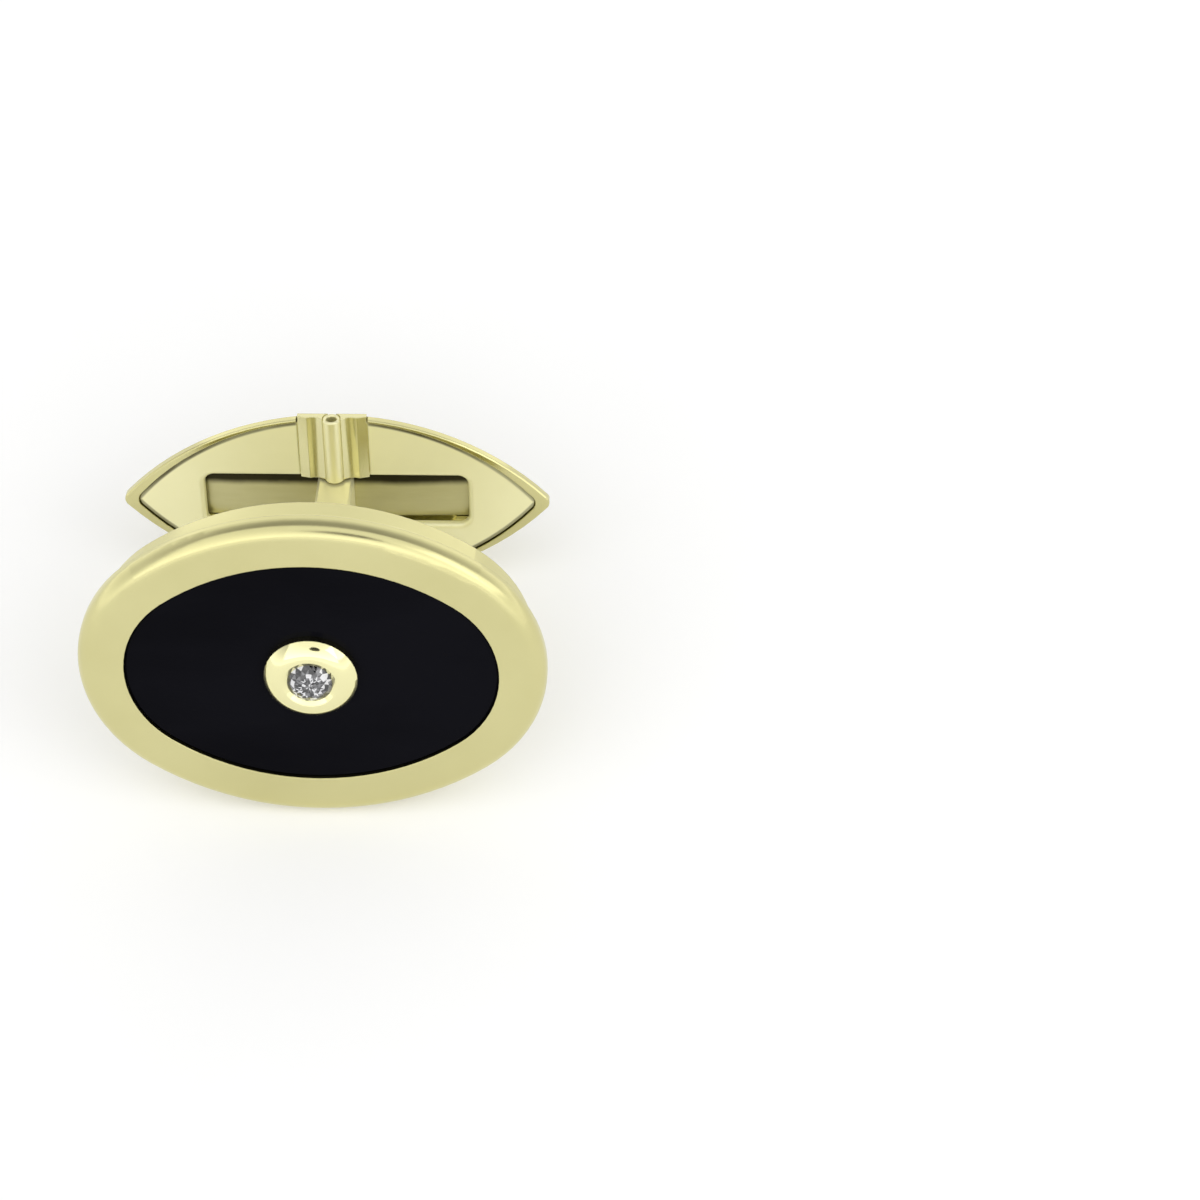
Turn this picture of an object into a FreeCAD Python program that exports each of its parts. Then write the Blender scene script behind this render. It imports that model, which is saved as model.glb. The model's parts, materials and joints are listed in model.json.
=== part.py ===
import FreeCAD, Part
import math
import os

import Sketcher

# Driving dimensions in millimetres, with angles in degrees, counts and shares.
# The cufflink is drawn with X along the oval, Y across it and Z out of its face.
# Z is zero at the flat front of the rim.
SIZES = {
    # Black oval stone, with a hole for its setting
    "onyx_length": 14.0,
    "onyx_width": 10.0,
    "onyx_end_share": 0.8,
    "onyx_thickness": 1.3,
    "onyx_recess": 0.1,
    "onyx_bevel": 0.08,
    # Oval frame round the stone: its section from the front rim to the rear flange
    "rim_flat": 1.2,
    "rim_round": 0.6,
    "rim_side": 0.2,
    "cove_height": 0.8,
    "cove_radius": 0.8,
    "flange_inset": 0.55,
    "flange_side": 0.75,
    "flange_bevel": 0.25,
    "ledge_width": 0.45,
    "stone_clearance": 0.02,
    # Plate that closes the back of the frame
    "plate_thickness": 0.5,
    "plate_recess": 0.3,
    "plate_lap": 0.3,
    # Round setting: collet with a conical seat, stem and peg
    "collet_diameter": 3.52,
    "collet_side": 0.3,
    "collet_height": 0.7,
    "collet_crest_diameter": 2.04,
    "collet_lip": 0.03,
    "stem_diameter": 1.9,
    "stem_length": 0.9,
    "peg_diameter": 0.9,
    "peg_end_gap": 0.05,
    # Round brilliant
    "diamond_diameter": 1.7,
    "girdle_thickness": 0.05,
    "girdle_drop": 0.12,
    "table_share": 0.57,
    "star_share": 0.5,
    "lower_half_share": 0.77,
    "culet_share": 0.03,
    "crown_angle": 34.5,
    "pavilion_angle": 40.75,
    "main_facet_count": 8,
    # Post from the back plate to the hinge
    "post_length": 11.0,
    "post_width": 1.4,
    "post_thickness": 2.1,
    "post_bevel": 0.1,
    "head_round": 0.25,
    "foot_diameter": 3.6,
    "foot_edge": 0.15,
    "foot_flare": 1.3,
    "foot_radius": 1.7,
    "tenon_diameter": 1.8,
    "tenon_bore_depth": 0.7,
    # Hinge across the toggle
    "pin_diameter": 0.4,
    "pin_clearance": 0.03,
    "pin_inset": 0.8,
    "tube_diameter": 0.72,
    "boss_overhang": 0.05,
    "tube_bevel": 0.06,
    "head_clearance": 0.1,
    "press_clearance": 0.005,
    # Pointed oval toggle: front plate let into a domed shell
    "toggle_length": 16.8,
    "toggle_height": 7.93,
    "toggle_tip_radius": 0.4,
    "toggle_setback": 0.04,
    "toggle_depth": 1.5,
    "toggle_side": 0.3,
    "toggle_back_flat": 2.6,
    "dome_end_share": 0.5,
    "shell_wall": 0.35,
    "shell_rim": 0.15,
    "shell_tip_rim": 0.6,
    "shell_ledge": 0.3,
    "shell_edge_bevel": 0.05,
    "front_thickness": 0.3,
    "front_recess": 0.08,
    "front_clearance": 0.05,
    "window_length": 10.4,
    "window_corner": 0.4,
    "window_roll": 0.22,
    # Fluted boss that carries the hinge tubes
    "boss_width": 2.7,
    "boss_root": 0.2,
    "ridge_span": 1.94,
    "ridge_height": 0.1,
    "flute_radius": 0.6,
    "flute_seam": 0.1,
    # Bowed leaf spring behind the head of the post, and the channel that seats its ends
    "spring_length": 11.4,
    "spring_width": 2.1,
    "spring_thickness": 0.12,
    "spring_bow": 0.12,
    "spring_drop": 0.15,
    "spring_clearance": 0.02,
    "channel_slide": 0.1,
    "channel_side": 0.03,
    # How far a cut runs past what it cuts, and how near an edge counts as lying in a plane
    "overrun": 0.5,
    "match_tolerance": 0.001,
}


class Size:
    """A number together with the spreadsheet formula that it comes from."""

    def __init__(self, value, formula):
        self.value = value
        self.formula = formula

    def joined(self, other, sign, value):
        return Size(value, f"({self.formula} {sign} {as_size(other).formula})")

    def __add__(self, other):
        return self.joined(other, "+", self.value + as_size(other).value)

    def __sub__(self, other):
        return self.joined(other, "-", self.value - as_size(other).value)

    def __mul__(self, other):
        return self.joined(other, "*", self.value * as_size(other).value)

    def __truediv__(self, other):
        return self.joined(other, "/", self.value / as_size(other).value)

    def __neg__(self):
        return Size(-self.value, f"(0 - {self.formula})")

    def root(self):
        return Size(math.sqrt(self.value), f"sqrt({self.formula})")

    def tangent(self):
        return Size(math.tan(math.radians(self.value)), f"tan({self.formula})")

    def cosine(self):
        return Size(math.cos(math.radians(self.value)), f"cos({self.formula})")

    def arctangent(self):
        return Size(math.degrees(math.atan(self.value)), f"atan({self.formula})")


def as_size(number):
    return number if isinstance(number, Size) else Size(number, str(number))


doc = FreeCAD.newDocument("Cufflink")
sheet = doc.addObject("Spreadsheet::Sheet", "Sizes")
for row, (alias, number) in enumerate(SIZES.items(), start=1):
    sheet.set(f"A{row}", alias)
    sheet.set(f"B{row}", str(number))
    sheet.setAlias(f"B{row}", alias)
doc.recompute()

ZERO = as_size(0)
size = {alias: Size(number, f"Sizes.{alias}") for alias, number in SIZES.items()}
overrun = size["overrun"]


# Sketch and feature helpers

def bind(item, path, measure):
    item.setExpression(path, as_size(measure).formula)


def origin_feature(body, role):
    return next(item for item in body.Origin.OriginFeatures if item.Role == role)


def new_body(label):
    body = doc.addObject("PartDesign::Body", label)
    body.Label = label
    return body


def new_sketch(body, name, role, lift=ZERO, turn=ZERO):
    """A sketch on an origin plane, lifted along its normal or turned about its own upright axis."""
    sketch = body.newObject("Sketcher::SketchObject", name)
    sketch.AttachmentSupport = [(origin_feature(body, role), "")]
    sketch.MapMode = "FlatFace"
    upright = FreeCAD.Rotation(FreeCAD.Vector(0, 1, 0), turn.value)
    sketch.AttachmentOffset = FreeCAD.Placement(FreeCAD.Vector(0, 0, lift.value), upright)
    bind(sketch, "AttachmentOffset.Base.z", lift)
    if turn.value:
        bind(sketch, "AttachmentOffset.Rotation.Angle", turn)
    return sketch


def hold(sketch, kind, geometry, position, measure):
    constraint = Sketcher.Constraint(kind, -1, 1, geometry, position, measure.value)
    bind(sketch, f"Constraints[{sketch.addConstraint(constraint)}]", measure)


def hold_point(sketch, geometry, position, point):
    hold(sketch, "DistanceX", geometry, position, as_size(point[0]))
    hold(sketch, "DistanceY", geometry, position, as_size(point[1]))


def hold_radius(sketch, geometry, radius):
    index = sketch.addConstraint(Sketcher.Constraint("Radius", geometry, radius.value))
    bind(sketch, f"Constraints[{index}]", radius)


def flat_vector(point):
    return FreeCAD.Vector(as_size(point[0]).value, as_size(point[1]).value, 0)


def add_bend(sketch, start, end, radius):
    """An arc that turns left for a positive radius and right for a negative one."""
    chord = end - start
    left = FreeCAD.Vector(-chord.y, chord.x, 0).normalize()
    side = math.copysign(1, radius.value)
    rise = math.sqrt(max(radius.value ** 2 - chord.Length ** 2 / 4, 0))
    centre = (start + end) / 2 + left * side * rise
    first, last = (start, end) if side > 0 else (end, start)
    angles = [math.atan2(point.y - centre.y, point.x - centre.x) for point in (first, last)]
    circle = Part.Circle(centre, FreeCAD.Vector(0, 0, 1), abs(radius.value))
    geometry = sketch.addGeometry(Part.ArcOfCircle(circle, angles[0], angles[1]), False)
    return (geometry, 1, 2) if side > 0 else (geometry, 2, 1)


def draw_outline(sketch, points, bends=None):
    """A closed chain through the points, with an arc of the given radius on each bent stretch."""
    bends = bends or {}
    stretches = []
    for index, point in enumerate(points):
        start = flat_vector(point)
        end = flat_vector(points[(index + 1) % len(points)])
        if index in bends:
            stretches.append(add_bend(sketch, start, end, as_size(bends[index])))
        else:
            stretches.append((sketch.addGeometry(Part.LineSegment(start, end), False), 1, 2))
    for index, (geometry, first, last) in enumerate(stretches):
        following, following_first, _ = stretches[(index + 1) % len(stretches)]
        joint = Sketcher.Constraint("Coincident", geometry, last, following, following_first)
        sketch.addConstraint(joint)
        hold_point(sketch, geometry, first, points[index])
    for index, radius in bends.items():
        radius = as_size(radius)
        hold_radius(sketch, stretches[index][0], radius if radius.value > 0 else -radius)


def draw_circle(sketch, diameter, centre=(ZERO, ZERO)):
    circle = Part.Circle(flat_vector(centre), FreeCAD.Vector(0, 0, 1), diameter.value / 2)
    geometry = sketch.addGeometry(circle, False)
    hold_point(sketch, geometry, 3, centre)
    hold_radius(sketch, geometry, diameter / 2)


def draw_rectangle(sketch, left, bottom, right, top):
    draw_outline(sketch, [(left, bottom), (right, bottom), (right, top), (left, top)])


def draw_axis(sketch, distance):
    """An upright construction line, which a revolved feature turns about."""
    start = FreeCAD.Vector(distance.value, 0, 0)
    end = FreeCAD.Vector(distance.value, -overrun.value, 0)
    geometry = sketch.addGeometry(Part.LineSegment(start, end), True)
    hold_point(sketch, geometry, 1, (distance, ZERO))
    hold_point(sketch, geometry, 2, (distance, -overrun))


def oval_centres(half_length, half_width, end_radius):
    """Reach of the end arcs' centres, radius of the side arcs, drop of their centres past the middle."""
    reach = half_length - end_radius
    side_radius = (reach * reach / (half_width - end_radius) + end_radius + half_width) / 2
    return reach, side_radius, side_radius - half_width


def draw_oval(sketch, half_length, half_width, end_radius):
    """A four-centred oval: two end arcs and two side arcs, tangent where they meet."""
    reach, side_radius, drop = oval_centres(half_length, half_width, end_radius)
    stretch = end_radius / (side_radius - end_radius)
    x = reach + reach * stretch
    y = drop * stretch
    corners = [(x, y), (-x, y), (-x, -y), (x, -y)]
    draw_outline(sketch, corners, {0: side_radius, 1: end_radius, 2: side_radius, 3: end_radius})


def extrude(body, kind, name, sketch, length, back=False, symmetric=False):
    feature = body.newObject(f"PartDesign::{kind}", name)
    feature.Profile = sketch
    feature.Reversed = back
    feature.SideType = "Symmetric" if symmetric else "One side"
    bind(feature, "Length", length)
    body.Tip = feature
    return feature


def revolve(body, kind, name, sketch, angle=None):
    """A full turn about the sketch's construction line, or a part turn centred on the sketch."""
    feature = body.newObject(f"PartDesign::{kind}", name)
    feature.Profile = sketch
    feature.ReferenceAxis = (sketch, ["Axis0"])
    if angle is None:
        feature.Angle = 360
    else:
        feature.Midplane = True
        bind(feature, "Angle", angle)
    body.Tip = feature
    return feature


def mirror(body, name, originals, role):
    feature = body.newObject("PartDesign::Mirrored", name)
    feature.Originals = originals
    feature.MirrorPlane = (origin_feature(body, role), [""])
    body.Tip = feature
    return feature


def ring_pattern(body, name, original, count):
    feature = body.newObject("PartDesign::PolarPattern", name)
    feature.Originals = [original]
    feature.Axis = (origin_feature(body, "Z_Axis"), [""])
    feature.Angle = 360
    bind(feature, "Occurrences", count)
    body.Tip = feature
    return feature


def soften(body, kind, name, path, measure, chosen):
    """A fillet or chamfer on those edges of the body's tip that the test chooses."""
    doc.recompute()
    base = body.Tip
    edges = [f"Edge{n}" for n, edge in enumerate(base.Shape.Edges, start=1) if chosen(edge)]
    feature = body.newObject(f"PartDesign::{kind}", name)
    feature.Base = (base, edges)
    bind(feature, path, measure)
    body.Tip = feature
    return feature


def lies_at(edge, axis, place):
    """True where the whole edge lies in the plane square to the axis at that place."""
    near = size["match_tolerance"].value
    return all(abs(getattr(vertex.Point, axis) - place.value) < near for vertex in edge.Vertexes)


# Levels along the post, from the front of the rim backwards

onyx_half_length = size["onyx_length"] / 2
onyx_half_width = size["onyx_width"] / 2
onyx_end_radius = onyx_half_width * size["onyx_end_share"]
onyx_front = -size["onyx_recess"]
onyx_back = onyx_front - size["onyx_thickness"]
girth = size["rim_flat"] + size["rim_round"]
cove_front = -(size["rim_round"] + size["rim_side"])
cove_back = cove_front - size["cove_height"]
case_back = cove_back - size["flange_side"] - size["flange_bevel"]
plate_back = case_back + size["plate_recess"]
plate_front = plate_back + size["plate_thickness"]
pin_level = -size["post_length"]
shell_front = pin_level - size["toggle_setback"]
shell_back = shell_front - size["toggle_depth"]
front_face = shell_front - size["front_recess"]
front_under = front_face - size["front_thickness"]
cavity_back = shell_back + size["shell_wall"]
spring_crest = front_under - size["spring_drop"]
spring_foot = spring_crest - size["spring_thickness"] - size["spring_bow"]
head_end = spring_crest + size["spring_clearance"]
boss_root = front_face - size["boss_root"]
toggle_half_length = size["toggle_length"] / 2
toggle_half_height = size["toggle_height"] / 2
window_half_height = size["post_thickness"] / 2 + size["head_clearance"]
boss_end = toggle_half_height + size["boss_overhang"]


def draw_stone_oval(sketch, offset):
    """The stone's outline, moved outwards by the offset."""
    draw_oval(sketch, onyx_half_length + offset, onyx_half_width + offset, onyx_end_radius + offset)


def slab(body, name, back, front, offset):
    sketch = new_sketch(body, f"{name}_outline", "XY_Plane", back)
    draw_stone_oval(sketch, offset)
    return extrude(body, "Pad", name, sketch, front - back)


def bore(body, name, diameter, level, depth):
    """A round hole along the post, cut downwards from the level."""
    sketch = new_sketch(body, f"{name}_circle", "XY_Plane", level)
    draw_circle(sketch, diameter)
    return extrude(body, "Pocket", name, sketch, depth)


# Case: frame, stone, cement and back plate

def draw_frame_section(sketch, edge):
    """Section of the frame at the given distance of the stone's edge from the middle."""
    flange = girth - size["flange_inset"]
    seat = size["stone_clearance"]
    ledge = -size["ledge_width"]
    points = [
        (edge + seat, ZERO),
        (edge + seat, onyx_back),
        (edge + ledge, onyx_back),
        (edge + ledge, plate_front),
        (edge + size["plate_lap"], plate_front),
        (edge + size["plate_lap"], case_back),
        (edge + flange - size["flange_bevel"], case_back),
        (edge + flange, case_back + size["flange_bevel"]),
        (edge + flange, cove_back),
        (edge + girth, cove_front),
        (edge + girth, -size["rim_round"]),
        (edge + size["rim_flat"], ZERO),
    ]
    bends = {8: -size["cove_radius"], 10: size["rim_round"]}
    draw_outline(sketch, points, bends)


def make_case_frame():
    body = new_body("case_frame")
    reach, _, drop = oval_centres(onyx_half_length, onyx_half_width, onyx_end_radius)
    end_turn = (drop / reach).arctangent() * 2
    side_turn = (reach / drop).arctangent() * 2
    end_section = new_sketch(body, "end_section", "XZ_Plane")
    draw_frame_section(end_section, onyx_half_length)
    draw_axis(end_section, reach)
    end = revolve(body, "Revolution", "frame_end", end_section, end_turn)
    side_section = new_sketch(body, "side_section", "YZ_Plane")
    draw_frame_section(side_section, onyx_half_width)
    draw_axis(side_section, -drop)
    side = revolve(body, "Revolution", "frame_side", side_section, side_turn)
    mirror(body, "frame_other_end", [end], "YZ_Plane")
    mirror(body, "frame_other_side", [side], "XZ_Plane")
    return body


def make_onyx_plate():
    body = new_body("onyx_plate")
    slab(body, "stone", onyx_back, onyx_front, ZERO)
    hole = size["stem_diameter"] + size["stone_clearance"] * 2
    bore(body, "stem_hole", hole, onyx_front, size["onyx_thickness"])
    outer = onyx_half_width * onyx_half_width

    def is_front_outline(edge):
        reach = edge.Vertexes[0].Point.x ** 2 + edge.Vertexes[0].Point.y ** 2
        return lies_at(edge, "z", onyx_front) and reach > outer.value

    soften(body, "Chamfer", "stone_bevel", "Size", size["onyx_bevel"], is_front_outline)
    return body


def make_onyx_cement():
    body = new_body("onyx_cement")
    slab(body, "bed", plate_front, onyx_back, -size["ledge_width"])
    bore(body, "peg_hole", size["peg_diameter"], onyx_back, onyx_back - plate_front)
    return body


def make_back_plate():
    body = new_body("back_plate")
    slab(body, "sheet", plate_back, plate_front, size["plate_lap"])
    bore(body, "tenon_hole", size["tenon_diameter"], plate_front, size["plate_thickness"])
    return body


# Setting and brilliant

collet_top = onyx_front + size["collet_height"]
girdle_radius = size["diamond_diameter"] / 2
girdle_top = collet_top - size["girdle_drop"]
girdle_bottom = girdle_top - size["girdle_thickness"]
pavilion_slope = size["pavilion_angle"].tangent()


def make_collet():
    body = new_body("collet")
    section = new_sketch(body, "collet_section", "XZ_Plane")
    side_top = onyx_front + size["collet_side"]
    crest = size["collet_crest_diameter"] / 2
    outer = size["collet_diameter"] / 2
    run = outer - crest
    rise = collet_top - side_top
    crown_radius = (run * run + rise * rise) / (rise * 2)
    stem = size["stem_diameter"] / 2
    peg = size["peg_diameter"] / 2
    stem_end = onyx_front - size["stem_length"]
    peg_end = plate_front - size["tenon_bore_depth"] + size["peg_end_gap"]
    seat_end = girdle_bottom - girdle_radius * pavilion_slope
    points = [
        (ZERO, peg_end),
        (peg, peg_end),
        (peg, stem_end),
        (stem, stem_end),
        (stem, onyx_front),
        (outer, onyx_front),
        (outer, side_top),
        (crest, collet_top),
        (girdle_radius - size["collet_lip"], girdle_top),
        (girdle_radius, girdle_top),
        (girdle_radius, girdle_bottom),
        (ZERO, seat_end),
    ]
    draw_outline(section, points, {6: crown_radius})
    draw_axis(section, ZERO)
    revolve(body, "Revolution", "turned_collet", section)
    return body


def make_diamond():
    """A brilliant cut from a round blank by tiers of facets, each a cut repeated round the axis."""
    body = new_body("diamond")
    count = size["main_facet_count"]
    step = as_size(360) / count
    crown_slope = size["crown_angle"].tangent()
    table_radius = girdle_radius * size["table_share"]
    crown_height = (girdle_radius - table_radius) * crown_slope
    culet_radius = girdle_radius * size["culet_share"]
    pavilion_depth = (girdle_radius - culet_radius) * pavilion_slope
    blank_outline = new_sketch(body, "blank_outline", "XY_Plane", girdle_bottom - pavilion_depth)
    draw_circle(blank_outline, size["diamond_diameter"])
    extrude(body, "Pad", "blank", blank_outline, pavilion_depth + size["girdle_thickness"] + crown_height)

    half_step = (step / 2).cosine()
    quarter_step = (step / 4).cosine()
    chord = girdle_radius * quarter_step
    table_edge = table_radius * half_step
    star_tip = table_edge + (girdle_radius - table_edge) * size["star_share"]
    star_rise = (girdle_radius - star_tip * half_step) * crown_slope
    star_slope = (crown_height - star_rise) / (star_tip - table_edge)
    upper_slope = star_rise / (chord - star_tip * quarter_step)
    lower_tip = girdle_radius - girdle_radius * size["lower_half_share"]
    lower_fall = (girdle_radius - lower_tip * half_step) * pavilion_slope
    lower_slope = lower_fall / (chord - lower_tip * quarter_step)

    def cut_tier(name, distance, level, slope, depth, turn, facets, sign):
        sketch = new_sketch(body, f"{name}_line", "XZ_Plane", turn=turn)
        far = girdle_radius + overrun
        end = level + (depth + overrun) * sign
        points = [
            (far, level + (distance - far) * slope * sign),
            (far, end),
            (distance - (depth + overrun) / slope, end),
        ]
        draw_outline(sketch, points)
        cut = extrude(body, "Pocket", name, sketch, size["diamond_diameter"] * 2, symmetric=True)
        ring_pattern(body, f"{name}_ring", cut, facets)

    table = girdle_top + crown_height
    cut_tier("crown_mains", girdle_radius, girdle_top, crown_slope, crown_height, ZERO, count, 1)
    cut_tier("stars", table_edge, table, star_slope, ZERO, step / 2, count, 1)
    cut_tier("upper_halves", chord, girdle_top, upper_slope, crown_height, step / 4, count * 2, 1)
    depth = pavilion_depth
    cut_tier("pavilion_mains", girdle_radius, girdle_bottom, pavilion_slope, depth, ZERO, count, -1)
    cut_tier("lower_halves", chord, girdle_bottom, lower_slope, depth, step / 4, count * 2, -1)
    return body


# Post

def make_post():
    body = new_body("post")
    half_width = size["post_width"] / 2
    half_thickness = size["post_thickness"] / 2
    bevel = size["post_bevel"]
    arm_outline = new_sketch(body, "arm_outline", "XY_Plane", head_end)
    quarter = [(half_width, half_thickness - bevel), (half_width - bevel, half_thickness)]
    corners = quarter + [(-x, y) for x, y in reversed(quarter)]
    corners += [(-x, -y) for x, y in quarter] + [(x, -y) for x, y in reversed(quarter)]
    draw_outline(arm_outline, corners)
    extrude(body, "Pad", "arm", arm_outline, plate_back - head_end)

    foot_section = new_sketch(body, "foot_section", "XZ_Plane")
    foot = size["foot_diameter"] / 2
    tenon = size["tenon_diameter"] / 2
    foot_under = plate_back - size["foot_edge"]
    points = [
        (ZERO, plate_front),
        (ZERO, foot_under - size["foot_flare"]),
        (half_width, foot_under - size["foot_flare"]),
        (foot, foot_under),
        (foot, plate_back),
        (tenon, plate_back),
        (tenon, plate_front),
    ]
    draw_outline(foot_section, points, {2: -size["foot_radius"]})
    draw_axis(foot_section, ZERO)
    revolve(body, "Revolution", "flared_foot", foot_section)

    bore(body, "peg_bore", size["peg_diameter"], plate_front, size["tenon_bore_depth"])
    pin_circle = new_sketch(body, "pin_circle", "XZ_Plane")
    draw_circle(pin_circle, size["pin_diameter"] + size["pin_clearance"] * 2, (ZERO, pin_level))
    extrude(body, "Pocket", "pin_bore", pin_circle, size["post_thickness"] * 2, symmetric=True)

    def is_head_corner(edge):
        return lies_at(edge, "z", head_end) and edge.BoundBox.XLength < bevel.value / 2

    soften(body, "Fillet", "head_corners", "Radius", size["head_round"], is_head_corner)
    return body


# Toggle

tip_radius = size["toggle_tip_radius"]
toggle_drop = oval_centres(toggle_half_length, toggle_half_height, tip_radius)[2]
back_half_flat = size["toggle_back_flat"] / 2
dome_run = toggle_half_height - back_half_flat
dome_rise = size["toggle_depth"] - size["toggle_side"]
dome_radius = (dome_run * dome_run + dome_rise * dome_rise) / (dome_rise * 2)


def draw_front_oval(sketch, offset):
    """Outline of the front plate, moved outwards by the offset."""
    half_length = toggle_half_length - size["shell_tip_rim"] + offset
    half_height = toggle_half_height - size["shell_rim"] + offset
    draw_oval(sketch, half_length, half_height, tip_radius + offset)


def cut_long_edges(body, points, bends):
    """Cuts the section away along one long edge of a pointed oval, and along the other one."""
    section = new_sketch(body, "edge_section", "YZ_Plane")
    draw_outline(section, points, bends)
    draw_axis(section, -toggle_drop)
    cut = revolve(body, "Groove", "long_edge", section)
    mirror(body, "other_long_edge", [cut], "XZ_Plane")


def make_shell_cavity():
    """The hollow of the shell, with a longer and shallower channel that seats the spring's ends."""
    body = new_body("shell_cavity")
    back = cavity_back
    half_height = toggle_half_height - size["shell_rim"] - size["shell_ledge"]
    outline = new_sketch(body, "cavity_outline", "XY_Plane", back)
    draw_oval(outline, size["window_length"] / 2, half_height, tip_radius)
    extrude(body, "Pad", "cavity", outline, front_under - back)
    inner_radius = dome_radius - size["shell_wall"]
    run = half_height - back_half_flat
    rise = inner_radius - (inner_radius * inner_radius - run * run).root()
    points = [
        (back_half_flat, back),
        (back_half_flat, back - overrun),
        (half_height + overrun, back - overrun),
        (half_height + overrun, back + rise * (run + overrun) / run),
    ]
    cut_long_edges(body, points, {})

    channel = new_sketch(body, "channel_outline", "XY_Plane", spring_foot)
    x = size["spring_length"] / 2 + size["channel_slide"]
    y = size["spring_width"] / 2 + size["channel_side"]
    draw_rectangle(channel, -x, -y, x, y)
    extrude(body, "Pad", "channel", channel, front_under - spring_foot)
    return body


def make_toggle_shell():
    body = new_body("shell_blank")
    outline = new_sketch(body, "shell_outline", "XY_Plane", shell_back)
    draw_oval(outline, toggle_half_length, toggle_half_height, tip_radius)
    extrude(body, "Pad", "blank", outline, size["toggle_depth"])
    end_run = dome_run + (dome_radius - dome_run) * size["dome_end_share"]
    end_level = shell_back + dome_radius - (dome_radius * dome_radius - end_run * end_run).root()
    far = toggle_half_height + overrun
    points = [
        (back_half_flat, shell_back),
        (back_half_flat, shell_back - overrun),
        (far, shell_back - overrun),
        (far, end_level),
        (back_half_flat + end_run, end_level),
    ]
    cut_long_edges(body, points, {4: -dome_radius})

    def is_front_outline(edge):
        return lies_at(edge, "z", shell_front)

    soften(body, "Chamfer", "rim_bevel", "Size", size["shell_edge_bevel"], is_front_outline)
    recess = new_sketch(body, "recess_outline", "XY_Plane", shell_front)
    draw_front_oval(recess, size["front_clearance"])
    extrude(body, "Pocket", "recess", recess, shell_front - front_under)
    half_boss = size["boss_width"] / 2 + size["front_clearance"]
    notch = new_sketch(body, "notch_outline", "XY_Plane", shell_front)
    draw_rectangle(notch, -half_boss, -far, half_boss, far)
    extrude(body, "Pocket", "hinge_notches", notch, shell_front - boss_root)

    shell = doc.addObject("Part::Cut", "toggle_shell")
    shell.Label = "toggle_shell"
    shell.Base = body
    shell.Tool = make_shell_cavity()
    return shell


def make_toggle_front():
    body = new_body("toggle_front")
    outline = new_sketch(body, "front_outline", "XY_Plane", front_under)
    draw_front_oval(outline, ZERO)
    extrude(body, "Pad", "plate", outline, size["front_thickness"])

    window = new_sketch(body, "window_outline", "XY_Plane", front_face)
    x = size["window_length"] / 2
    y = window_half_height
    corner = size["window_corner"]
    points = [
        (x, -y + corner),
        (x, y - corner),
        (x - corner, y),
        (-x + corner, y),
        (-x, y - corner),
        (-x, -y + corner),
        (-x + corner, -y),
        (x - corner, -y),
    ]
    draw_outline(window, points, {1: corner, 3: corner, 5: corner, 7: corner})
    extrude(body, "Pocket", "window", window, size["front_thickness"])

    def is_window_edge(edge):
        box = edge.BoundBox
        within_length = max(abs(box.XMin), abs(box.XMax)) < x.value + corner.value
        within_height = max(abs(box.YMin), abs(box.YMax)) < y.value + corner.value
        return lies_at(edge, "z", front_face) and within_length and within_height

    soften(body, "Fillet", "window_lip", "Radius", size["window_roll"], is_window_edge)

    half_boss = size["boss_width"] / 2
    half_ridge = size["ridge_span"] / 2
    ridge = front_face + size["ridge_height"]
    seam = pin_level + size["flute_seam"]
    tube = size["tube_diameter"] / 2
    seam_reach = (tube * tube - size["flute_seam"] * size["flute_seam"]).root()
    boss = new_sketch(body, "boss_section", "XZ_Plane", -window_half_height)
    points = [
        (half_boss, boss_root),
        (half_boss, front_face),
        (half_ridge, ridge),
        (seam_reach, seam),
        (-seam_reach, seam),
        (-half_ridge, ridge),
        (-half_boss, front_face),
        (-half_boss, boss_root),
    ]
    draw_outline(boss, points, {2: -size["flute_radius"], 4: -size["flute_radius"]})
    upper = extrude(body, "Pad", "fluted_boss", boss, boss_end - window_half_height, back=True)
    mirror(body, "other_boss", [upper], "XZ_Plane")

    groove = new_sketch(body, "groove_circle", "XZ_Plane")
    draw_circle(groove, size["tube_diameter"], (ZERO, pin_level))
    extrude(body, "Pocket", "tube_groove", groove, size["toggle_height"] * 2, symmetric=True)
    return body


def make_hinge_tube(label, sign):
    body = new_body(label)
    section = new_sketch(body, "tube_section", "XZ_Plane", window_half_height * -sign)
    draw_circle(section, size["tube_diameter"], (ZERO, pin_level))
    draw_circle(section, size["pin_diameter"] + size["press_clearance"] * 2, (ZERO, pin_level))
    extrude(body, "Pad", "tube", section, boss_end - window_half_height, back=sign > 0)

    def is_outer_end(edge):
        return lies_at(edge, "y", boss_end * sign)

    soften(body, "Chamfer", "tube_end_bevel", "Size", size["tube_bevel"], is_outer_end)
    return body


def make_hinge_pin():
    body = new_body("hinge_pin")
    section = new_sketch(body, "pin_section", "XZ_Plane")
    draw_circle(section, size["pin_diameter"], (ZERO, pin_level))
    extrude(body, "Pad", "pin", section, (boss_end - size["pin_inset"]) * 2, symmetric=True)
    return body


def make_detent_spring():
    body = new_body("detent_spring")
    section = new_sketch(body, "spring_section", "XZ_Plane")
    half = size["spring_length"] / 2
    bow = size["spring_bow"]
    rear_radius = (half * half + bow * bow) / (bow * 2)
    front = spring_foot + size["spring_thickness"]
    points = [(half, spring_foot), (half, front), (-half, front), (-half, spring_foot)]
    draw_outline(section, points, {1: rear_radius, 3: -rear_radius})
    extrude(body, "Pad", "leaf", section, size["spring_width"], symmetric=True)
    return body


# The cufflink lies on the rear edge of its rim and on the flat end of the toggle's lower boss

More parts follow.
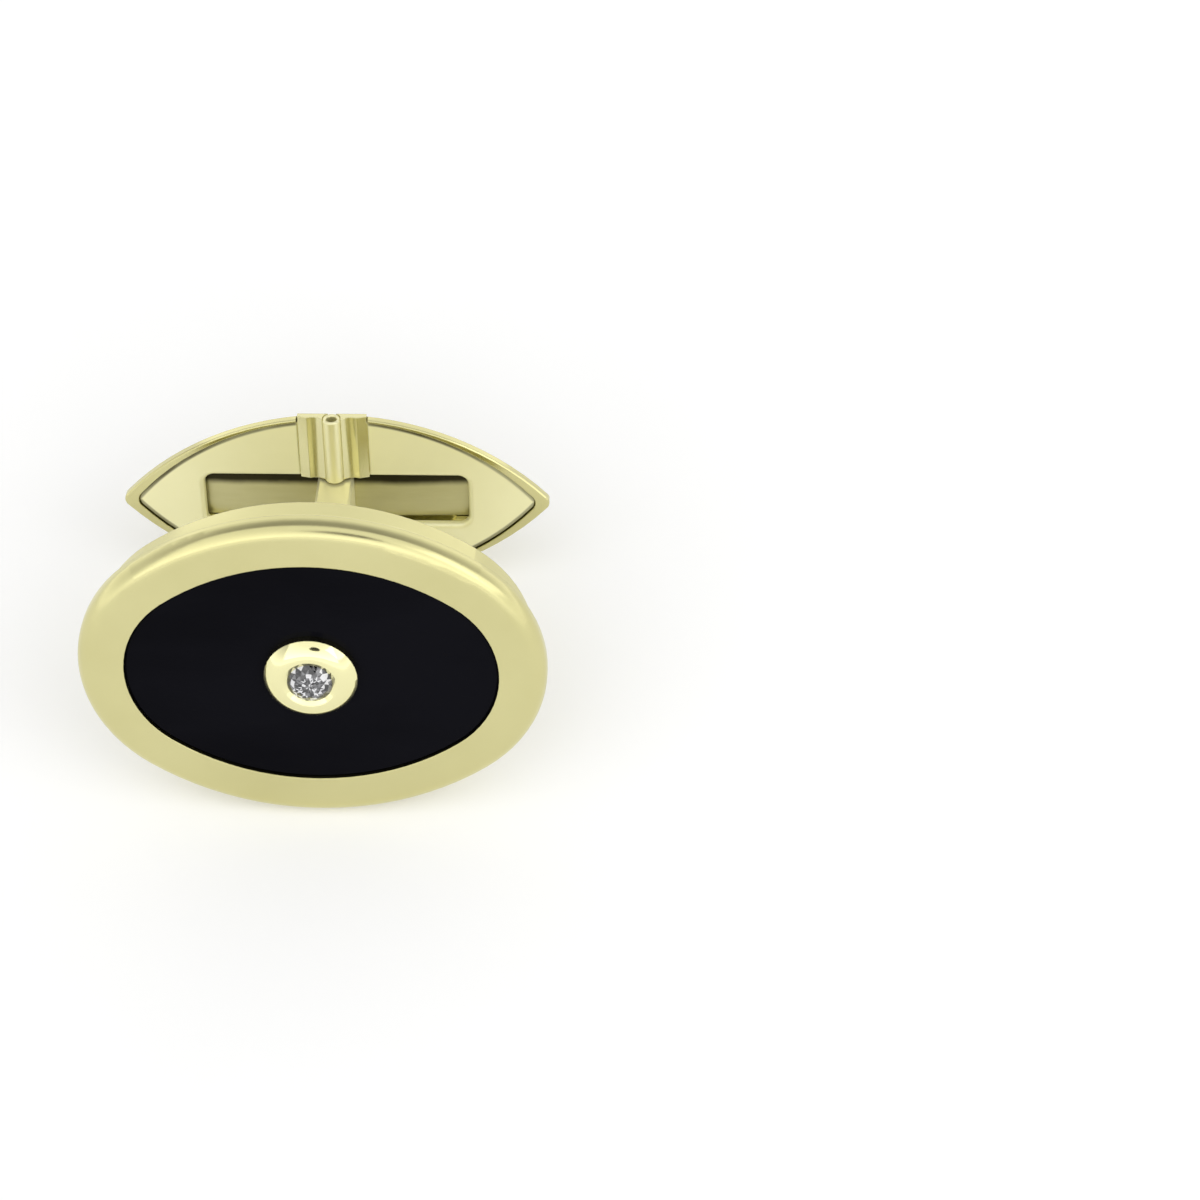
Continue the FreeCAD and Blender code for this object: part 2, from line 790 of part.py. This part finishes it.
def resting_rotation():
    """Turn about X that lays the line touching both of them level."""
    drop = onyx_half_width + girth - boss_end
    lean = (drop / (cove_front - boss_root)).arctangent()
    return FreeCAD.Rotation(FreeCAD.Vector(1, 0, 0), 90 - lean.value)


def lay_down(pieces):
    """Turns all pieces into the resting pose, with the origin under the middle of their common box."""
    rotation = resting_rotation()
    box = FreeCAD.BoundBox()
    for piece in pieces:
        turned = piece.Shape.copy()
        turned.Placement = FreeCAD.Placement(FreeCAD.Vector(), rotation).multiply(turned.Placement)
        box.add(turned.optimalBoundingBox(False))
    shift = FreeCAD.Vector(-box.Center.x, -box.Center.y, -box.ZMin)
    for piece in pieces:
        piece.Placement = FreeCAD.Placement(shift, rotation)


def check(pieces):
    for item in doc.Objects:
        if "Invalid" in item.State or "Error" in item.State:
            raise RuntimeError(f"{item.Label} failed: {item.State}")
    for piece in pieces:
        if piece.Shape.isNull() or not piece.Shape.isValid() or len(piece.Shape.Solids) != 1:
            raise RuntimeError(f"{piece.Label} is not one valid solid")


pieces = [
    make_case_frame(),
    make_onyx_plate(),
    make_onyx_cement(),
    make_back_plate(),
    make_collet(),
    make_diamond(),
    make_post(),
    make_toggle_shell(),
    make_toggle_front(),
    make_hinge_tube("hinge_tube_upper", 1),
    make_hinge_tube("hinge_tube_lower", -1),
    make_hinge_pin(),
    make_detent_spring(),
]
doc.recompute()
check(pieces)
lay_down(pieces)
doc.recompute()
check(pieces)

os.makedirs("parts", exist_ok=True)
for piece in pieces:
    piece.Shape.exportStep(f"parts/{piece.Label}.step")
    print(piece.Label, round(piece.Shape.Volume, 3), len(piece.Shape.Faces))
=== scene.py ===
import json
import math

import bpy
from mathutils import Matrix, Vector


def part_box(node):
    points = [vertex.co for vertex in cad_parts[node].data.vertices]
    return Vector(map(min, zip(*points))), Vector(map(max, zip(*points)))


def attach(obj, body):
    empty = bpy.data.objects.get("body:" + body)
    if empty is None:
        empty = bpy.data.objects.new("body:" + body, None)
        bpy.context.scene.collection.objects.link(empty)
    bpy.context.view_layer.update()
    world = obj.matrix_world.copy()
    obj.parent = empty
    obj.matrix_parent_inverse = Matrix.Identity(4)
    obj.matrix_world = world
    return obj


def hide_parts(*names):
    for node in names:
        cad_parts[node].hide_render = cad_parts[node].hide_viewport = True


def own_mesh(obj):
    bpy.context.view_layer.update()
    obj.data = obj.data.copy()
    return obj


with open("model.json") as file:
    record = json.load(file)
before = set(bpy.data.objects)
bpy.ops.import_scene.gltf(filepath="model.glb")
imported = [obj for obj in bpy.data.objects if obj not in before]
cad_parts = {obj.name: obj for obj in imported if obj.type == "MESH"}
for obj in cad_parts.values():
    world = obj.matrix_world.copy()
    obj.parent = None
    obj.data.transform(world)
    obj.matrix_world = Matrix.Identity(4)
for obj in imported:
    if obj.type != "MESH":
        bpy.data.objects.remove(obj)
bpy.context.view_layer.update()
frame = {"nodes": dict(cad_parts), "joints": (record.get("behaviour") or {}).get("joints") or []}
nodes = frame["nodes"]

MM = 0.001

# The cufflink's own axes: along the oval, up its face and out of its face
flip = next(joint for joint in frame["joints"] if joint["name"] == "toggle_flip")
ALONG = Vector((1, 0, 0))
UP = Vector(flip["axis"]).normalized()
OUT = ALONG.cross(UP)
pin = Vector(flip["pos_m"])
stone_front = max(vertex.co.dot(OUT) for vertex in nodes["onyx_plate"].data.vertices)
face_middle = pin + OUT * (stone_front - pin.dot(OUT))
diamond_low, diamond_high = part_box("diamond")
girdle_radius = (diamond_high[0] - diamond_low[0]) / 2


# Materials

# Places of the colour sockets of a Mix node
MIX_FIRST, MIX_SECOND, MIX_RESULT = 6, 7, 2

# Most values of a noise lie between these two
NOISE_LOW, NOISE_HIGH = 0.3, 0.7

# Noise scales, per metre: changes of tone, patches of gloss, and polishing marks with their stretch
TONE_SCALE = 260
GLOSS_SCALE = 900
HAIRLINE_SCALE = 2200
HAIRLINE_STRETCH = (1, 14, 14)

# Height of marks on metal, and the radius to which its edges are worn
MARK_HEIGHT = 0.002 * MM
EDGE_RADIUS = 0.05 * MM
EDGE_SAMPLES = 6

# Golds: dark and light tone, smoothest and dullest roughness, share of metal, strength of marks. The
# collet, tube and post golds are lightened copies of the case's gold, as painted light
GOLDS = {
    "gold_case": ((0.62, 0.58, 0.285), (0.66, 0.62, 0.315), (0.18, 0.25), 1.0, 0.15),
    "gold_polished": ((0.62, 0.58, 0.285), (0.66, 0.62, 0.315), (0.10, 0.16), 1.0, 0.15),
    "gold_collet_lit": ((0.84, 0.80, 0.44), (0.88, 0.84, 0.475), (0.08, 0.12), 1.0, 0.1),
    "gold_tube_lit": ((0.86, 0.82, 0.48), (0.90, 0.86, 0.52), (0.34, 0.42), 0.7, 0.06),
    "gold_post_lit": ((0.95, 0.915, 0.59), (0.98, 0.945, 0.63), (0.36, 0.44), 0.6, 0.04),
    # The pin's gold is darkened, as painted shade in the hinge tube's bore
    "gold_pin_shaded": ((0.30, 0.27, 0.10), (0.36, 0.33, 0.13), (0.3, 0.4), 1.0, 0.2),
}


class Paint:
    """A material's node tree, with short ways to add and join nodes."""

    def __init__(self, name):
        self.material = bpy.data.materials.new(name)
        self.material.use_nodes = True
        self.tree = self.material.node_tree
        self.shader = self.tree.nodes["Principled BSDF"]

    def put(self, value, socket):
        """Joins a node's output to a socket, or sets the socket to a fixed value."""
        if isinstance(value, bpy.types.NodeSocket):
            self.tree.links.new(value, socket)
        else:
            socket.default_value = value

    def node(self, kind, **inputs):
        made = self.tree.nodes.new(kind)
        for name, value in inputs.items():
            self.put(value, made.inputs[name.replace("_", " ")])
        return made

    def settle(self, **inputs):
        """Joins or sets the sockets of the shader itself."""
        for name, value in inputs.items():
            self.put(value, self.shader.inputs[name.replace("_", " ")])

    def noise(self, scale, stretch=(1, 1, 1), detail=4.0, roughness=0.55):
        """Noise fixed to the piece, stretched along its axes."""
        places = self.node("ShaderNodeTexCoord").outputs["Object"]
        mapping = self.node("ShaderNodeMapping", Vector=places, Scale=stretch)
        made = self.node("ShaderNodeTexNoise", Vector=mapping.outputs["Vector"],
                         Scale=scale, Detail=detail, Roughness=roughness)
        return made.outputs["Fac"]

    def math(self, operation, *values):
        made = self.node("ShaderNodeMath")
        made.operation = operation
        for value, socket in zip(values, made.inputs):
            self.put(value, socket)
        return made.outputs["Value"]

    def across(self):
        """Places along the oval and up its face, measured from the middle of the cufflink."""
        places = self.node("ShaderNodeTexCoord").outputs["Object"]
        measures = []
        for axis in (ALONG, UP):
            made = self.node("ShaderNodeVectorMath")
            made.operation = "DOT_PRODUCT"
            self.put(places, made.inputs[0])
            self.put(axis, made.inputs[1])
            measures.append(self.math("SUBTRACT", made.outputs["Value"], axis.dot(pin)))
        return measures

    def distance(self, along, up):
        squares = [self.math("MULTIPLY", measure, measure) for measure in (along, up)]
        return self.math("SQRT", self.math("ADD", *squares))

    def mixed(self, factor, first, second):
        """The first colour where the factor is 0, the second one where it is 1."""
        made = self.node("ShaderNodeMix", Factor=factor)
        made.data_type = "RGBA"
        for colour, place in ((first, MIX_FIRST), (second, MIX_SECOND)):
            fixed = not isinstance(colour, bpy.types.NodeSocket)
            self.put((*colour, 1) if fixed else colour, made.inputs[place])
        return made.outputs[MIX_RESULT]

    def step(self, value, low, high):
        """A smooth step from 0 at the low value to 1 at the high one."""
        made = self.node("ShaderNodeMapRange", Value=value, From_Min=low, From_Max=high)
        made.interpolation_type = "SMOOTHSTEP"
        return made.outputs["Result"]

    def ramp(self, factor, *stops, sharp=False):
        made = self.node("ShaderNodeValToRGB", Fac=factor)
        made.color_ramp.interpolation = "CONSTANT" if sharp else "LINEAR"
        while len(made.color_ramp.elements) < len(stops):
            made.color_ramp.elements.new(1.0)
        for element, (place, colour) in zip(made.color_ramp.elements, stops):
            element.position = place
            element.color = (*colour, 1)
        return made.outputs["Color"]

    def tones(self, noise, dark, light):
        return self.ramp(noise, (NOISE_LOW, dark), (NOISE_HIGH, light))

    def range(self, noise, low, high):
        made = self.node("ShaderNodeMapRange", Value=noise, From_Min=NOISE_LOW, From_Max=NOISE_HIGH,
                         To_Min=low, To_Max=high)
        return made.outputs["Result"]

    def gloss(self, smooth, dull):
        """Roughness that changes in patches."""
        return self.range(self.noise(GLOSS_SCALE), smooth, dull)

    def bump(self, height, strength, distance):
        return self.node("ShaderNodeBump", Height=height, Strength=strength, Distance=distance)

    def polishing_marks(self, strength):
        """Hairlines on metal, with worn edges."""
        hairlines = self.noise(HAIRLINE_SCALE, HAIRLINE_STRETCH, detail=2.0)
        marks = self.bump(hairlines, strength, MARK_HEIGHT)
        edge = self.node("ShaderNodeBevel", Radius=EDGE_RADIUS)
        edge.samples = EDGE_SAMPLES
        self.put(edge.outputs["Normal"], marks.inputs["Normal"])
        self.settle(Normal=marks.outputs["Normal"])


def start_gold(name):
    """One of the golds, and its colour."""
    dark, light, rough, metal, marks = GOLDS[name]
    paint = Paint(name)
    colour = paint.tones(paint.noise(TONE_SCALE), dark, light)
    paint.settle(Base_Color=colour, Metallic=metal, Roughness=paint.gloss(*rough))
    paint.polishing_marks(marks)
    return paint, colour


def make_gold(name):
    paint, colour = start_gold(name)
    return paint.material


def make_collet_gold():
    """Gold lightened as painted light, with the seat under the brilliant painted white, as painted
    light that the brilliant sends back.
    """
    seat_painted_light = (0.70, 0.71, 0.73)
    seat_radius = 0.94 * girdle_radius
    rim_radius = 0.97 * girdle_radius
    paint, colour = start_gold("gold_collet_lit")
    rim = paint.step(paint.distance(*paint.across()), seat_radius, rim_radius)
    paint.settle(Base_Color=paint.mixed(rim, seat_painted_light, colour))
    return paint.material


def make_plate_satin():
    """Satin gold of the toggle's front plate, lightened as painted light, with painted shade in the
    seam along its outline.
    """
    satin_lit_tones = (0.94, 0.905, 0.55), (0.98, 0.945, 0.59)
    boss_lit_tone = (0.74, 0.70, 0.385)
    seam_shade_tone = (0.07, 0.06, 0.02)
    seam_start, seam_full = 0.17 * MM, 0.07 * MM
    boss_fade = 0.1 * MM
    boss_metal, satin_metal = 0.9, 0.4
    boss_gloss, satin_dulling = (0.16, 0.24), 0.2
    seam_shade_scale, least_seam_shade = 220, 0.45
    marks = 0.3

    paint = Paint("gold_plate_lit")
    vertices = nodes["toggle_front"].data.vertices
    outline = [(abs(vertex.co.dot(ALONG)), (vertex.co - pin).dot(UP)) for vertex in vertices]
    half_length = max(along for along, up in outline)
    # Two points of the side arc: one beside the hinge boss and one beyond the end of the window
    boss_end, window_end = 0.2 * half_length, 0.7 * half_length
    beside = max((up, along) for along, up in outline if along > boss_end)
    beyond = max((up, along) for along, up in outline if along > window_end)
    squares = [up * up + along * along for up, along in (beside, beyond)]
    drop = (squares[1] - squares[0]) / (2 * (beside[0] - beyond[0]))
    side_radius = math.hypot(beside[1], beside[0] + drop)
    along, up = paint.across()
    reach = paint.distance(along, paint.math("ADD", paint.math("ABSOLUTE", up), drop))
    seam = paint.step(reach, side_radius - seam_start, side_radius - seam_full)

    # The boss stands out past the outline and gets no painted seam shade
    top = max(up for along, up in outline)
    boss_half = max(along for along, up in outline if up > 0.99 * top)
    flat = paint.step(paint.math("ABSOLUTE", along), boss_half, boss_half + boss_fade)
    # Painted shade along the seam of the outline, in patches
    patchy = paint.range(paint.noise(seam_shade_scale), least_seam_shade, 1.0)
    seam_shade = paint.math("MULTIPLY", paint.math("MULTIPLY", seam, flat), patchy)

    # The fluted boss is buffed and deeper in colour than the flat of the plate; both are lightened
    # copies of the case's gold, as painted light
    lit_satin = paint.tones(paint.noise(TONE_SCALE), *satin_lit_tones)
    unshaded = paint.mixed(flat, boss_lit_tone, lit_satin)
    paint.settle(
        Base_Color=paint.mixed(seam_shade, unshaded, seam_shade_tone),
        Metallic=paint.math("MULTIPLY_ADD", flat, satin_metal - boss_metal, boss_metal),
        Roughness=paint.math("MULTIPLY_ADD", flat, satin_dulling, paint.gloss(*boss_gloss)),
    )
    paint.polishing_marks(marks)
    return paint.material


def make_onyx():
    """Black stone with faint straight bands and a slight haze."""
    band_scale, band_stretch = 1.5, (40, 400, 40)
    tones = (0.35, (0.002, 0.002, 0.003)), (0.65, (0.0045, 0.0045, 0.0065))
    haze_scale, clear, hazy = 500, 0.05, 0.12
    paint = Paint("onyx_black")
    bands = paint.noise(band_scale, band_stretch, detail=6.0)
    haze = paint.range(paint.noise(haze_scale), clear, hazy)
    paint.settle(Base_Color=paint.ramp(bands, *tones), Roughness=haze, Specular_IOR_Level=0.02)
    return paint.material


def make_diamond():
    """Clear stone, with the mosaic of light and dark that a brilliant's rear facets send back."""
    ring_count = 6
    sector_count = 16
    seed = 5.0
    greys = (
        (0.0, (0.003, 0.003, 0.004)),
        (0.3, (0.045, 0.045, 0.048)),
        (0.55, (0.20, 0.20, 0.21)),
        (0.8, (0.86, 0.86, 0.88)),
    )
    paint = Paint("diamond_clear")
    paint.settle(Transmission_Weight=0.25, IOR=2.417, Roughness=0.02, Specular_IOR_Level=0.2)
    along, up = paint.across()
    rings = paint.math("MULTIPLY", paint.distance(along, up), ring_count / girdle_radius)
    ring = paint.math("FLOOR", rings)
    turns = paint.math("MULTIPLY", paint.math("ARCTAN2", up, along), sector_count / (2 * math.pi))
    # Every other ring is turned by half a sector, and each cell is cut into triangles
    sectors = paint.math("ADD", turns, paint.math("FRACT", paint.math("MULTIPLY", ring, 0.5)))
    slope = paint.math("PINGPONG", sectors, 0.5)
    corner = paint.math("MULTIPLY_ADD", slope, 2.0, paint.math("FRACT", rings))
    facet = paint.node("ShaderNodeCombineXYZ", X=ring, Y=paint.math("FLOOR", sectors),
                       Z=paint.math("FLOOR", corner))
    chance = paint.node("ShaderNodeTexWhiteNoise")
    chance.noise_dimensions = "4D"
    paint.put(facet.outputs["Vector"], chance.inputs["Vector"])
    paint.put(seed, chance.inputs["W"])
    paint.settle(Base_Color=paint.ramp(chance.outputs["Value"], *greys, sharp=True))
    return paint.material


def make_cement():
    """Dull grey cement with small lumps."""
    lump_scale, lump_height, lump_strength = 1200, 0.05 * MM, 0.5
    dark, light = (0.16, 0.15, 0.13), (0.24, 0.23, 0.21)
    paint = Paint("cement_grey")
    lumps = paint.noise(lump_scale)
    relief = paint.bump(lumps, lump_strength, lump_height)
    colour = paint.tones(lumps, dark, light)
    paint.settle(Base_Color=colour, Roughness=0.85, Normal=relief.outputs["Normal"])
    return paint.material


def make_spring():
    """Rolled gilt leaf, with painted shade along its upper edge, under the edge of the front plate.
    """
    rolling_scale, rolling_stretch, rolling_strength = 700, (1, 6, 6), 0.05
    dark, light = (0.60, 0.565, 0.30), (0.64, 0.605, 0.335)
    smooth, dull = 0.30, 0.38
    painted_shade_tone = (0.03, 0.025, 0.008)
    painted_shade_scale = 500
    widths = [vertex.co.dot(UP) for vertex in nodes["detent_spring"].data.vertices]
    half_width = (max(widths) - min(widths)) / 2
    shade_wander, shade_start, shade_full = (share * half_width for share in (0.2, 0.4, 0.75))

    paint = Paint("spring_gilt")
    rolled = paint.noise(rolling_scale, rolling_stretch, detail=3.0)
    relief = paint.bump(rolled, rolling_strength, MARK_HEIGHT)
    along, up = paint.across()
    # Painted shade: the leaf darkens towards its upper edge, along a wandering border
    place = paint.math("MULTIPLY_ADD", paint.noise(painted_shade_scale), shade_wander, up)
    painted_shade = paint.step(place, shade_start, shade_full)
    paint.settle(
        Base_Color=paint.mixed(painted_shade, paint.tones(rolled, dark, light), painted_shade_tone),
        Metallic=0.8,
        Roughness=paint.range(rolled, smooth, dull),
        Normal=relief.outputs["Normal"],
    )
    return paint.material


gold_polished = make_gold("gold_polished")
gold_tube_lit = make_gold("gold_tube_lit")
finishes = {
    "case_frame": make_gold("gold_case"),
    "back_plate": gold_polished,
    "collet": make_collet_gold(),
    "post": make_gold("gold_post_lit"),
    "toggle_shell": gold_polished,
    "toggle_front": make_plate_satin(),
    "hinge_tube_upper": gold_tube_lit,
    "hinge_tube_lower": gold_tube_lit,
    "hinge_pin": make_gold("gold_pin_shaded"),
    "onyx_plate": make_onyx(),
    "onyx_cement": make_cement(),
    "diamond": make_diamond(),
    "detent_spring": make_spring(),
}
for name, material in finishes.items():
    nodes[name].data.materials.clear()
    nodes[name].data.materials.append(material)


def add_object(name, data):
    made = bpy.data.objects.new(name, data)
    bpy.context.scene.collection.objects.link(made)
    return made


def make_spring_leaf():
    """The bowed leaf, which the turned head of the post presses flat against its seat."""
    leaf = add_object("spring_leaf", nodes["detent_spring"].data.copy())
    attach(leaf, "toggle")
    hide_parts("detent_spring")
    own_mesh(leaf)


make_spring_leaf()


# Floor, light and camera

def make_floor():
    half_side = 0.6
    tone_scale, dark, light = 40, (0.93, 0.93, 0.93), (0.95, 0.95, 0.95)
    glow = 0.11
    corners = [(x * half_side, y * half_side, 0) for x, y in ((-1, -1), (1, -1), (1, 1), (-1, 1))]
    mesh = bpy.data.meshes.new("floor")
    mesh.from_pydata(corners, [], [(0, 1, 2, 3)])
    floor = add_object("floor", mesh)
    paint = Paint("floor_white")
    colour = paint.tones(paint.noise(tone_scale), dark, light)
    paint.settle(Base_Color=colour, Roughness=0.9, Specular_IOR_Level=0.1)
    # White as the camera, metal and glass see it, with the shadow kept
    rays = paint.node("ShaderNodeLightPath").outputs
    through = paint.math("ADD", rays["Is Glossy Ray"], rays["Is Transmission Ray"])
    seen = paint.math("ADD", rays["Is Camera Ray"], through)
    strength = paint.math("MULTIPLY", seen, glow)
    paint.settle(Emission_Color=(1, 1, 1, 1), Emission_Strength=strength)
    mesh.materials.append(paint.material)


def make_world():
    """A white tent, brighter near the horizon than overhead."""
    horizon, overhead = 1.4, 0.4
    overhead_start = 0.9
    world = bpy.data.worlds.new("tent")
    world.use_nodes = True
    bpy.context.scene.world = world
    tree = world.node_tree
    background = tree.nodes["Background"]
    background.inputs["Color"].default_value = (1, 1, 1, 1)
    direction = tree.nodes.new("ShaderNodeTexCoord")
    parts = tree.nodes.new("ShaderNodeSeparateXYZ")
    level = tree.nodes.new("ShaderNodeMapRange")
    limits = {"From Min": 0.0, "From Max": overhead_start, "To Min": horizon, "To Max": overhead}
    for name, value in limits.items():
        level.inputs[name].default_value = value
    tree.links.new(direction.outputs["Generated"], parts.inputs["Vector"])
    tree.links.new(parts.outputs["Z"], level.inputs["Value"])
    tree.links.new(level.outputs["Result"], background.inputs["Strength"])


def make_lamp(name, place, width, height, watts):
    """A flat lamp that faces the middle of the floor."""
    data = bpy.data.lights.new(name, "AREA")
    data.shape = "RECTANGLE"
    data.size = width
    data.size_y = height
    data.energy = watts
    lamp = add_object(name, data)
    lamp.location = place
    lamp.rotation_mode = "QUATERNION"
    lamp.rotation_quaternion = (-Vector(place)).to_track_quat("-Z", "Y")


def make_camera_card(view):
    """The dark front of the photographer's camera, which polished metal and the brilliant mirror."""
    radius = 26 * MM
    setback = 12 * MM
    corner_count = 48
    tone_scale, dark, light = 60, (0.015, 0.015, 0.015), (0.025, 0.025, 0.025)
    turns = [2 * math.pi * corner / corner_count for corner in range(corner_count)]
    around = [(radius * math.cos(turn), radius * math.sin(turn)) for turn in turns]
    rim = [view @ Vector((aside, above, setback)) for aside, above in around]
    mesh = bpy.data.meshes.new("camera_card")
    mesh.from_pydata(rim, [], [tuple(range(corner_count))])
    card = add_object("camera_card", mesh)
    paint = Paint("card_black")
    colour = paint.tones(paint.noise(tone_scale), dark, light)
    paint.settle(Base_Color=colour, Roughness=0.8)
    mesh.materials.append(paint.material)


def make_camera():
    """The photograph's camera, by the tilt of the face, its distance and its place in the picture."""
    image_side = 1200
    tilt, yaw, roll = (math.radians(angle) for angle in (37.26, 2.58, 1.01))
    distance = 148 * MM
    focal_pixels = 3970
    face_pixel = Vector((311.3, 673.4))
    pixels_per_metre = focal_pixels / distance
    turned = (
        Matrix.Rotation(roll, 3, "Z")
        @ Matrix.Rotation(tilt, 3, "X")
        @ Matrix.Rotation(-yaw, 3, "Y")
    )
    right, upward, back = (ALONG * row[0] + UP * row[1] + OUT * row[2] for row in turned)
    aside = (face_pixel.x - image_side / 2) / pixels_per_metre
    above = (image_side / 2 - face_pixel.y) / pixels_per_metre
    data = bpy.data.cameras.new("camera")
    data.sensor_width = 36
    data.lens = data.sensor_width * focal_pixels / image_side
    data.clip_start = 10 * MM
    data.clip_end = 10
    camera = add_object("camera", data)
    place = face_middle - right * aside - upward * above + back * distance
    axes = Matrix((right, upward, back)).transposed()
    camera.matrix_world = Matrix.Translation(place) @ axes.to_4x4()
    bpy.context.scene.camera = camera
    make_camera_card(camera.matrix_world)


make_floor()
make_world()
make_lamp("overhead", (0, -0.30, 0.40), width=1.0, height=0.8, watts=1.85)
make_lamp("rear", (0, 0.50, 0.20), width=0.8, height=0.35, watts=0.1)
make_lamp("key", (0.32, -0.16, 0.26), width=0.26, height=0.26, watts=0.17)
make_camera()
bpy.context.scene.view_settings.view_transform = "Standard"
